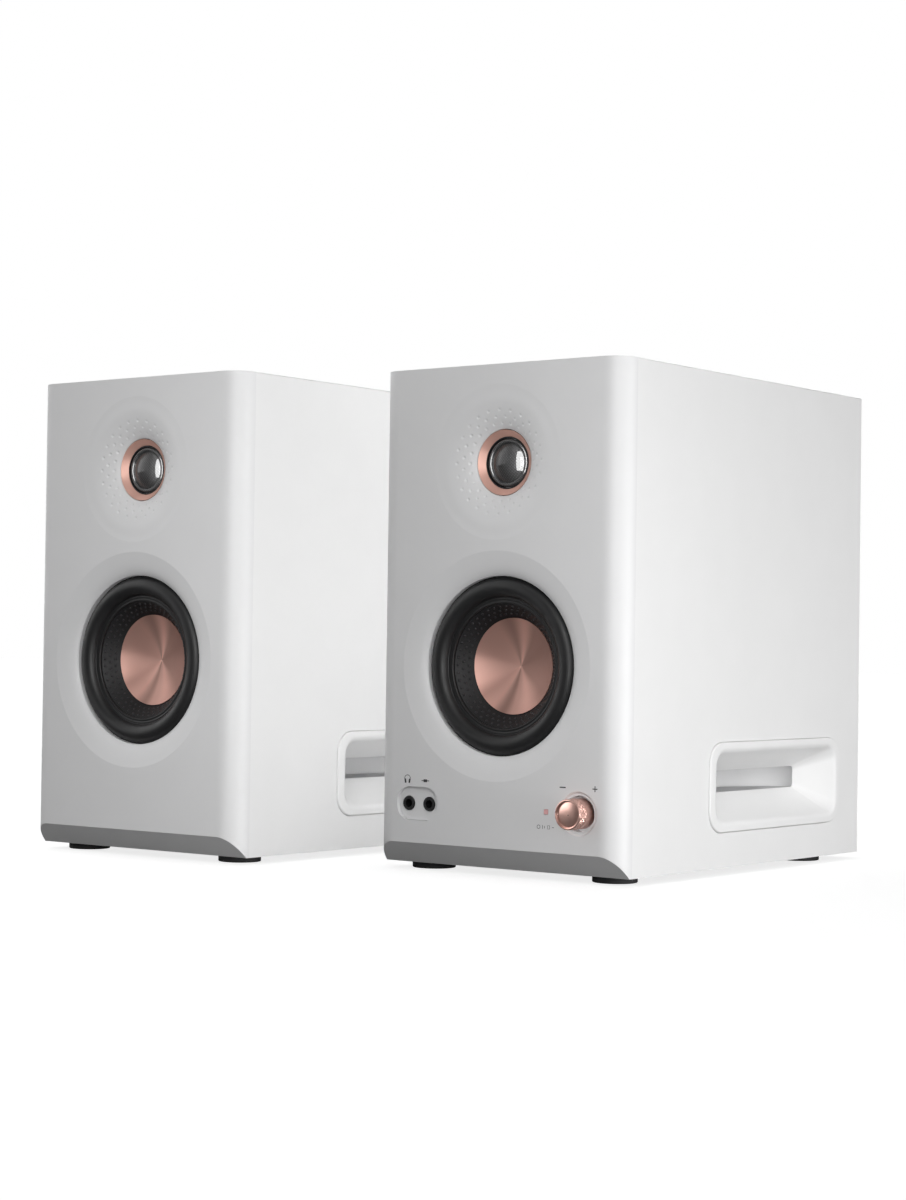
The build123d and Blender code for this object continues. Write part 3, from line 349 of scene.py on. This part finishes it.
for name, node in frame["nodes"].items():
    speaker, _, kind = name.partition("_")
    key = slot_of[name]
    if key == "rose_gold":
        key = "knob_metal" if "knob" in kind else f"{speaker}_{'cap' if 'cap' in kind else 'ring'}_metal"
    # the duct takes the darker grey of painted shade
    if kind == "port_duct":
        key = "duct_plastic"
    node.data.materials.clear()
    node.data.materials.append(mats[key])


# ------------------------------------------------------------ mesh helpers
def link(name, data):
    """A new object in the scene."""
    obj = bpy.data.objects.new(name, data)
    bpy.context.scene.collection.objects.link(obj)
    return obj


def mesh_piece(name, verts, faces, material, body=None, smooth=True):
    mesh = bpy.data.meshes.new(name)
    mesh.from_pydata(verts, [], faces)
    mesh.validate()
    mesh.update()
    obj = link(name, mesh)
    mesh.materials.append(mats[material])
    if smooth:
        mesh.shade_smooth()
    if body:
        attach(obj, body)
    return obj


def lathe(speaker, x, z, profile, steps, shape=None, closed=False):
    """Turns (radius, y) points in mm about a front-to-back axis through (x, z).

    shape(r, y, angle) may return a new (r, y).
    """
    verts, faces = [], []
    for i in range(steps):
        a = TURN * i / steps
        for r, y in profile:
            if shape:
                r, y = shape(r, y, a)
            verts.append(at(speaker, x + r * math.cos(a), y, z + r * math.sin(a)))
    n = len(profile)
    last = n if closed else n - 1
    for i in range(steps):
        j = (i + 1) % steps
        for k in range(last):
            m = (k + 1) % n
            faces.append((i * n + k, i * n + m, j * n + m, j * n + k))
    return verts, faces


def arc(cx, cy, rx, ry, start, end, steps):
    """Points of an elliptical arc, in degrees."""
    out = []
    for i in range(steps + 1):
        a = math.radians(start + (end - start) * i / steps)
        out.append((cx + rx * math.cos(a), cy + ry * math.sin(a)))
    return out


# ------------------------------------------------------------ woofer surround and spider, which stretch
ROLL_R, ROLL_STEPS = 33.3, 20
ROLL_FRONT = arc(ROLL_R, 6.4, 4.1, 3.5, 0, -180, ROLL_STEPS)
ROLL_BACK = arc(ROLL_R, 6.9, 3.6, 3.2, 180, 360, ROLL_STEPS)[1:-1]
SURROUND = [(45.9, 6.6), (38.6, 6.55), (37.9, 6.5), (37.5, 6.3)] + ROLL_FRONT
SURROUND += [(28.9, 6.5), (28.55, 6.32), (28.2, 6.32), (27.95, 6.5), (27.6, 6.5), (27.35, 6.3), (27.0, 6.25),
             (26.75, 6.35), (26.6, 6.7), (26.6, 7.1), (27.0, 7.15), (28.9, 7.1)]
SURROUND += ROLL_BACK + [(37.4, 7.0), (45.9, 7.1)]
SPIDER_R, SPIDER_WIDTH, SPIDER_Y, SPIDER_THICK = 13.5, 16.3, 25, 0.45
SPIDER_WAVES, SPIDER_POINTS, SPIDER_HEIGHT, SPIDER_EDGE = 4, 48, 1.0, 0.6
HELD_RADII = {"surround": (29.2, 37.4), "spider": (14.5, 27.5)}  # moves fully inside, still outside


def radial_blend(obj, speaker, z, inner, outer):
    """The piece follows the frame at the outer radius (mm) and the moving cone at the inner one."""
    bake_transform(obj, speaker, f"{speaker}_woofer_motion", at(speaker, outer, 0, z), at(speaker, inner, 0, z))
    centre = at(speaker, 0, 0, z)
    values = []
    for v in obj.data.vertices:
        r = math.hypot(v.co.x - centre.x, v.co.z - centre.z) / MM
        values.append(ease((outer - r) / (outer - inner)))
    obj.data.attributes["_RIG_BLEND"].data.foreach_set("value", values)


def spider_sheet():
    """Both faces of the corrugated spider, whose waves are lower at the two edges."""
    front = []
    for k in range(SPIDER_POINTS + 1):
        height = SPIDER_HEIGHT * (1 if 3 < k < SPIDER_POINTS - 2 else SPIDER_EDGE)
        wave = math.cos(TURN * SPIDER_WAVES * k / SPIDER_POINTS)
        front.append((SPIDER_R + SPIDER_WIDTH * k / SPIDER_POINTS, SPIDER_Y - height * wave))
    return front + [(r, y + SPIDER_THICK) for r, y in reversed(front)]


for sp in PLACES:
    verts, faces = lathe(sp, 0, WOOFER_Z, SURROUND, 144, closed=True)
    surround = mesh_piece(f"{sp}_surround", verts, faces, "surround_rubber")
    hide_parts(f"{sp}_woofer_surround")
    radial_blend(surround, sp, WOOFER_Z, *HELD_RADII["surround"])

    verts, faces = lathe(sp, 0, WOOFER_Z, spider_sheet(), 96, closed=True)
    spider = mesh_piece(f"{sp}_spider", verts, faces, "spider_cloth")
    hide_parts(f"{sp}_woofer_spider")
    radial_blend(spider, sp, WOOFER_Z, *HELD_RADII["spider"])

# ------------------------------------------------------------ embossed dots of the cone
CONE_EDGE, CONE_NECK = (26.2, 7.2), (20.5, 14.1)  # (radius, y) of the cone's face
CONE_RUN, CONE_DEPTH = CONE_EDGE[0] - CONE_NECK[0], CONE_NECK[1] - CONE_EDGE[1]
DOT_ROWS, DOTS_PER_ROW = (25.3, 23.8, 22.3), 48
DOT_RADIUS, DOT_RISE, DOT_SUNK = 0.62 * MM, 0.5 * MM, 0.06 * MM
DOT_RINGS, DOT_STEPS = 4, 12


def cone_y(r):
    return CONE_EDGE[1] + (CONE_EDGE[0] - r) * CONE_DEPTH / CONE_RUN


def dot(verts, faces, centre, right, up, out):
    """A low round dome added to a list of vertices and faces."""
    base = len(verts)
    for k in range(DOT_RINGS):
        a = math.pi / 2 * k / DOT_RINGS
        for i in range(DOT_STEPS):
            t = TURN * i / DOT_STEPS
            verts.append(centre + (right * math.cos(t) + up * math.sin(t)) * DOT_RADIUS * math.cos(a)
                         + out * (DOT_RISE * math.sin(a) - DOT_SUNK))
    top = len(verts)
    verts.append(centre + out * (DOT_RISE - DOT_SUNK))
    for k in range(DOT_RINGS):
        low, high = base + k * DOT_STEPS, base + (k + 1) * DOT_STEPS
        for i in range(DOT_STEPS):
            j = (i + 1) % DOT_STEPS
            if high < top:
                faces.append((low + i, low + j, high + j, high + i))
            else:
                faces.append((low + i, low + j, top))


for sp in PLACES:
    verts, faces = [], []
    for ring, r in enumerate(DOT_ROWS):
        for i in range(DOTS_PER_ROW):
            a = TURN * (i + 0.5 * (ring % 2)) / DOTS_PER_ROW
            radial = Vector((math.cos(a), 0, math.sin(a)))
            around = Vector((-math.sin(a), 0, math.cos(a)))
            along = (radial * CONE_RUN - Vector((0, 1, 0)) * CONE_DEPTH).normalized()
            out = around.cross(along)
            if out.y > 0:
                out = -out
            centre = at(sp, r * math.cos(a), cone_y(r), WOOFER_Z + r * math.sin(a))
            dot(verts, faces, centre, around, along, out)
    # the dots' lighter grey is partly a painted glint
    mesh_piece(f"{sp}_cone_dots", verts, faces, "cone_gloss", f"{sp}_woofer_motion")

# ------------------------------------------------------------ dimpled waveguides
# (radius, y) of the CAD waveguide; the skin lies in front of it and its dimples go back nearly to it
WAVEGUIDE = [(14.2, 5.6), (15.38, 4.677), (16.66, 3.866), (18.27, 3.063), (19.19, 2.678), (20.15, 2.327),
             (21.26, 1.974), (22.4, 1.656), (23.75, 1.331), (25.15, 1.045), (26.82, 0.753), (28.54, 0.501),
             (30.7, 0.233), (32.9, 0.0)]
THROAT = WAVEGUIDE[0][0]
SKIN_LIFT, SKIN_FADE_R, SKIN_FADE = 0.45, 31.5, 6  # the lift fades out over 6 mm, up to that radius
DIMPLE_ROWS, DIMPLES_PER_ROW, DIMPLE_RADIUS = (22.1, 19.3, 16.6), 24, 0.85
DIMPLES = [(r, TURN * (k + 0.5 * (ring % 2)) / DIMPLES_PER_ROW)
           for ring, r in enumerate(DIMPLE_ROWS) for k in range(DIMPLES_PER_ROW)]
SKIN_RADII = [THROAT] + [14.4 + 0.2 * k for k in range(47)]
SKIN_RADII += [24.0 + 0.8 * k for k in range(11)] + [32.5, 32.88]
TUCKED = 10  # stands for y at the throat's edge, which tucks under the CAD surface


def waveguide_y(r):
    """Cubic through the points of the waveguide's table."""
    table = WAVEGUIDE
    k = next((i for i in range(len(table) - 1) if table[i + 1][0] >= r), len(table) - 2)
    (r0, y0), (r1, y1) = table[k], table[k + 1]
    before = table[max(0, k - 1)]
    after = table[min(len(table) - 1, k + 2)]
    m0 = (y1 - before[1]) / (r1 - before[0]) * (r1 - r0)
    m1 = (after[1] - y0) / (after[0] - r0) * (r1 - r0)
    t = (r - r0) / (r1 - r0)
    return ((2 * t ** 3 - 3 * t ** 2 + 1) * y0 + (t ** 3 - 2 * t ** 2 + t) * m0
            + (-2 * t ** 3 + 3 * t ** 2) * y1 + (t ** 3 - t ** 2) * m1)


def dimpled(r, y, a):
    """The skin's point at (r, a), sunk where a dimple is near."""
    if y == TUCKED:
        return r, waveguide_y(THROAT) + 0.05
    y = waveguide_y(r) - SKIN_LIFT * ease((SKIN_FADE_R - r) / SKIN_FADE) - 0.004
    for dr, da in DIMPLES:
        if abs(dr - r) > 1:
            continue
        gap = math.hypot(r - dr, ((a - da + math.pi) % TURN - math.pi) * r)
        if gap < DIMPLE_RADIUS:
            y += (SKIN_LIFT - 0.05) * ease(1 - gap / DIMPLE_RADIUS)
    return r, max(0.0, y)  # y = 0 is the front of the CAD box


for sp in PLACES:
    profile = [(THROAT, TUCKED)] + [(r, 0) for r in SKIN_RADII]
    verts, faces = lathe(sp, 0, TWEETER_Z, profile, 384, shape=dimpled)
    mesh_piece(f"{sp}_waveguide", verts, faces, "baffle_plastic", sp)

# ------------------------------------------------------------ knurled volume knob
KNOB_RADIUS = 6.3
KNURL_FROM, KNURL_TO, KNURL_RINGS, KNURL_EDGE = -7.1, -3.2, 26, 0.35
KNURL_TURNS, KNURL_PITCH, KNURL_DEPTH = 20, 1.95, 0.4
# (radius, y): the slightly domed face, a groove, the raised rim
KNOB_FACE = [(0.0, -7.7), (1.0, -7.685), (2.0, -7.64), (3.0, -7.54), (4.0, -7.38), (4.7, -7.22),
             (5.1, -7.1), (5.25, -7.08), (5.38, -7.2),
             (5.48, -7.7), (5.6, -7.93), (5.75, -8.0), (5.9, -7.97), (6.1, -7.83), (6.24, -7.6),
             (KNOB_RADIUS, -7.35)]
KNOB_BACK = [(KNOB_RADIUS, -3.0), (KNOB_RADIUS, 0), (KNOB_RADIUS, 2.9), (6.2, 3.0), (3.1, 3.0)]


def knurled(r, y, a):
    """Cuts two crossed sets of spiral grooves into the knob's side."""
    if r < KNOB_RADIUS or not KNURL_FROM < y < KNURL_TO:
        return r, y
    edge = ease((y - KNURL_FROM) / KNURL_EDGE) * ease((KNURL_TO - y) / KNURL_EDGE)
    one = abs(math.sin(0.5 * (KNURL_TURNS * a + TURN * y / KNURL_PITCH)))
    two = abs(math.sin(0.5 * (KNURL_TURNS * a - TURN * y / KNURL_PITCH)))
    return r - KNURL_DEPTH * edge * (1 - min(one, two)), y


step = (KNURL_TO - KNURL_FROM) / KNURL_RINGS
profile = KNOB_FACE + [(KNOB_RADIUS, KNURL_FROM + step * k) for k in range(KNURL_RINGS + 1)] + KNOB_BACK
verts, faces = lathe("active", KNOB_X, KNOB_Z, profile, 312, shape=knurled)
knob = mesh_piece("volume_knob_skin", verts, faces, "knob_metal", "volume_turn")
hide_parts("active_volume_knob")

# ------------------------------------------------------------ printed symbols of the front
INK_Y, INK_THICK = -0.03, 0.05


def stroke(points, width, close=False):
    """A flat ribbon along (x, z) points in mm, as a list of corner pairs."""
    pairs = []
    n = len(points)
    for i, (x, z) in enumerate(points):
        ax, az = points[(i - 1) % n] if close or i else points[i]
        bx, bz = points[(i + 1) % n] if close or i < n - 1 else points[i]
        dx, dz = bx - ax, bz - az
        size = math.hypot(dx, dz) or 1
        ox, oz = -dz / size * width / 2, dx / size * width / 2
        pairs.append(((x + ox, z + oz), (x - ox, z - oz)))
    return pairs


def printed(name, speaker, strokes):
    """Thin ink on a face that looks forwards: each stroke is (points, width, closed)."""
    verts, faces = [], []
    for points, width, close in strokes:
        base = len(verts)
        pairs = stroke(points, width, close)
        for (ax, az), (bx, bz) in pairs:
            for depth in (INK_Y, INK_Y + INK_THICK):
                verts += [at(speaker, ax, depth, az), at(speaker, bx, depth, bz)]
        n = len(pairs)
        for i in range(n if close else n - 1):
            p, q = base + 4 * i, base + 4 * ((i + 1) % n)
            faces += [(p, p + 1, q + 1, q), (p + 2, q + 2, q + 3, p + 3), (p, q, q + 2, p + 2),
                      (p + 1, p + 3, q + 3, q + 1)]
        if not close:
            for p in (base, base + 4 * (n - 1)):
                faces.append((p, p + 2, p + 3, p + 1))
    return mesh_piece(name, verts, faces, "print_ink", speaker, smooth=False)


HEAD_X, HEAD_Z = -45.6, 39.6
PLUG_Z = 39.0
MINUS_Z = 39.5
PLUS_X = 51.9
printed("front_symbols", "active", [
    # headphones: the band and two cups
    (arc(HEAD_X, HEAD_Z, 1.55, 1.5, -20, 200, 20), 0.26, False),
    ([(HEAD_X - 1.3, HEAD_Z - 0.1), (HEAD_X - 0.95, HEAD_Z - 1.9)], 0.85, False),
    ([(HEAD_X + 1.3, HEAD_Z - 0.1), (HEAD_X + 0.95, HEAD_Z - 1.9)], 0.85, False),
    # a plug
    ([(-37.9, PLUG_Z), (-36.8, PLUG_Z)], 0.34, False),
    ([(-36.8, PLUG_Z), (-34.9, PLUG_Z)], 1.2, False),
    ([(-34.9, PLUG_Z), (-33.8, PLUG_Z)], 0.34, False),
    # minus and plus over the knob
    ([(34.4, MINUS_Z), (37.4, MINUS_Z)], 0.5, False),
    ([(PLUS_X - 1.2, MINUS_Z), (PLUS_X + 1.2, MINUS_Z)], 0.42, False),
    ([(PLUS_X, MINUS_Z - 1.2), (PLUS_X, MINUS_Z + 1.2)], 0.42, False),
    # four small signs left of the knob
    (arc(24.0, 22.7, 0.75, 0.75, 0, 342, 18), 0.2, True),
    ([(26.0, 21.9), (26.0, 23.5)], 0.2, False),
    ([(27.0, 22.2), (27.0, 23.2)], 0.2, False),
    ([(28.6, 22.0), (29.6, 22.0), (29.6, 23.4), (28.6, 23.4)], 0.2, True),
    ([(30.8, 22.7), (31.7, 22.7)], 0.22, False),
])

# ------------------------------------------------------------ camera
FOCAL, FRAME_WIDTH, SENSOR = 2436.16, 906, 36  # pixels of the whole frame, pixels, mm
CAMERA_PLACE = (0.69584, -0.91005, 0.09749)
yaw, pitch, roll = 0.6552, 0.0183, 0.0137
forward = Vector((-math.sin(yaw) * math.cos(pitch), math.cos(yaw) * math.cos(pitch), math.sin(pitch)))
level_right = Vector((math.cos(yaw), math.sin(yaw), 0))
level_up = level_right.cross(forward)
right = level_right * math.cos(roll) + level_up * math.sin(roll)
up = level_up * math.cos(roll) - level_right * math.sin(roll)
camera_data = bpy.data.cameras.new("camera")
camera_data.sensor_fit = "HORIZONTAL"
camera_data.sensor_width = SENSOR
camera_data.lens = FOCAL * SENSOR / FRAME_WIDTH
camera_data.clip_start, camera_data.clip_end = 0.01, 50
camera = link("camera", camera_data)
rows = [(right[k], up[k], -forward[k], CAMERA_PLACE[k]) for k in range(3)]
camera.matrix_world = Matrix((*rows, (0, 0, 0, 1)))
bpy.context.scene.camera = camera

# ------------------------------------------------------------ floor and background
FLOOR = 8  # metres each way
FLOOR_SEEN, FLOOR_LIT = 0.80, 0.15  # glow in the picture, grey of the floor that lights the object
# (direction along the axis from -1 to 1, brightness)
SKY_ACROSS = ((-1.0, 2.3), (-0.3, 0.0), (0.3, 0.0), (1.0, 1.2))
SKY_UP = ((-0.6, 0.4), (0.0, 0.8), (0.6, 1.0))


def seen_or_lit(tree, seen, lit, output):
    """The picture shows one shader of the backdrop, and the dimmer one lights the object."""
    path = tree.nodes.new("ShaderNodeLightPath")
    mix = tree.nodes.new("ShaderNodeMixShader")
    tree.links.new(path.outputs["Is Camera Ray"], mix.inputs[0])
    tree.links.new(lit, mix.inputs[1])
    tree.links.new(seen, mix.inputs[2])
    tree.links.new(mix.outputs[0], output)


floor_mesh = bpy.data.meshes.new("floor")
corners = [(-FLOOR, -FLOOR, 0), (FLOOR, -FLOOR, 0), (FLOOR, FLOOR, 0), (-FLOOR, FLOOR, 0)]
floor_mesh.from_pydata(corners, [], [(0, 1, 2, 3)])
floor = link("floor", floor_mesh)
floor_finish = Finish("floor_paper", grey(0.50), 0.9, spec=0.05)
floor_finish.vary(floor_finish.noise(60, 3), 0.004)
floor_finish.shader.inputs["Emission Color"].default_value = grey(1)
floor_finish.shader.inputs["Emission Strength"].default_value = FLOOR_SEEN
dim = floor_finish.nodes.new("ShaderNodeBsdfDiffuse")
dim.inputs["Color"].default_value = grey(FLOOR_LIT)
seen_or_lit(floor_finish.mat.node_tree, floor_finish.shader.outputs[0], dim.outputs[0],
            floor_finish.nodes["Material Output"].inputs["Surface"])
floor_mesh.materials.append(floor_finish.mat)
floor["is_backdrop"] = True

world = bpy.data.worlds.new("studio")
bpy.context.scene.world = world
world.use_nodes = True
wn, wl = world.node_tree.nodes, world.node_tree.links
coords = wn.new("ShaderNodeTexCoord")
split = wn.new("ShaderNodeSeparateXYZ")
wl.new(coords.outputs["Generated"], split.inputs[0])


def sky_ramp(axis, stops):
    """A grey level by how far a direction points along one axis, from -1 to 1."""
    shift = wn.new("ShaderNodeMath")
    shift.operation = "MULTIPLY_ADD"
    shift.inputs[1].default_value, shift.inputs[2].default_value = 0.5, 0.5
    wl.new(split.outputs[axis], shift.inputs[0])
    ramp = wn.new("ShaderNodeValToRGB")
    elements = ramp.color_ramp.elements
    for element, (place, level) in zip(elements, (stops[0], stops[-1])):
        element.position, element.color = (place + 1) / 2, grey(level)
    for place, level in stops[1:-1]:
        elements.new((place + 1) / 2).color = grey(level)
    wl.new(shift.outputs[0], ramp.inputs["Fac"])
    return ramp.outputs["Color"]


sky = wn.new("ShaderNodeMix")
sky.data_type, sky.blend_type = "RGBA", "MULTIPLY"
sky.inputs[0].default_value = 1.0
wl.new(sky_ramp(0, SKY_ACROSS), sky.inputs[6])
wl.new(sky_ramp(2, SKY_UP), sky.inputs[7])
seen = wn["Background"]
seen.inputs["Color"].default_value = grey(1)
lit = wn.new("ShaderNodeBackground")
wl.new(sky.outputs[2], lit.inputs["Color"])
seen_or_lit(world.node_tree, seen.outputs[0], lit.outputs[0], wn["World Output"].inputs["Surface"])

# ------------------------------------------------------------ lamps
SPEAKER_OF = {body: "passive" if body.startswith("passive") else "active" for body in frame["bodies"]}
# place and target in metres from the speaker's front centre on the desk, width, height and watts
LAMPS = {
    "near": ((0.21, -0.26, 0.155), (0.01, 0, 0.12), 0.14, 0.34, 0.58),
    "key": ((1.6, 0.60, 0.60), (0.06, 0.1, 0.1), 1.2, 1.2, 2.5),
    "rear": ((-0.60, 1.30, 0.70), (0, 0.2, 0.1), 0.7, 0.8, 7.5),
    "overhead": ((0.02, -0.55, 0.90), (0, 0, 0.1), 0.50, 0.35, 0.5),
    "card": ((0.55, 0.06, 0.03), (0.06, 0.08, 0.05), 0.45, 0.05, 1.35),
    "dome_glint": ((0.17, -0.27, 0.20), (0, 0, 0.17), 0.24, 0.56, 7.0),
}
# the passive speaker's right side also gets the light that comes back from its neighbour
SIDE_SHARE = {"active": 1.0, "passive": 0.7}
SIDE_LAMPS = ("key", "card")
# which pieces a lamp lights, where that isn't all of the speaker's
CHOSEN = {"near": lambda name: "knob" not in name, "dome_glint": lambda name: "dome" in name,
          "knob_lamp": lambda name: "knob" in name}
KNOB_LAMP_PLACE, KNOB_LAMP_SIZE, KNOB_LAMP_WATTS = (-300, -300, 220), 0.34, 0.85


def softbox(name, place, target, width, height, watts):
    data = bpy.data.lights.new(name, "AREA")
    data.shape, data.size, data.size_y = "RECTANGLE", width, height
    data.energy = watts
    lamp = link(name, data)
    lamp.location = place
    lamp.rotation_euler = (Vector(target) - Vector(place)).to_track_quat("-Z", "Y").to_euler()
    lamp.visible_camera = False
    return lamp


def light_only(lamp, speaker, chosen=lambda name: True):
    """The lamp lights the chosen pieces of one speaker, and nothing else casts shade in its light."""
    group = bpy.data.collections.new(f"{lamp.name}_subjects")
    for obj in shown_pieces():
        if chosen(obj.name) and any(SPEAKER_OF[b] == speaker for b in body_of(obj) or ()):
            group.objects.link(obj)
    lamp.light_linking.receiver_collection = group
    lamp.light_linking.blocker_collection = group


for sp in PLACES:
    home = at(sp, 0, 0, 0)
    for label, (place, target, width, height, watts) in LAMPS.items():
        if label in SIDE_LAMPS:
            watts *= SIDE_SHARE[sp]
        lamp = softbox(f"{sp}_{label}", home + Vector(place), home + Vector(target), width, height, watts)
        lamp.visible_diffuse = label != "dome_glint"
        light_only(lamp, sp, CHOSEN.get(label, lambda name: True))
knob_lamp = softbox("knob_lamp", at("active", *KNOB_LAMP_PLACE), at("active", KNOB_X, 0, KNOB_Z),
                    KNOB_LAMP_SIZE, KNOB_LAMP_SIZE, KNOB_LAMP_WATTS)
light_only(knob_lamp, "active", CHOSEN["knob_lamp"])
bpy.context.scene.view_settings.view_transform = "Standard"
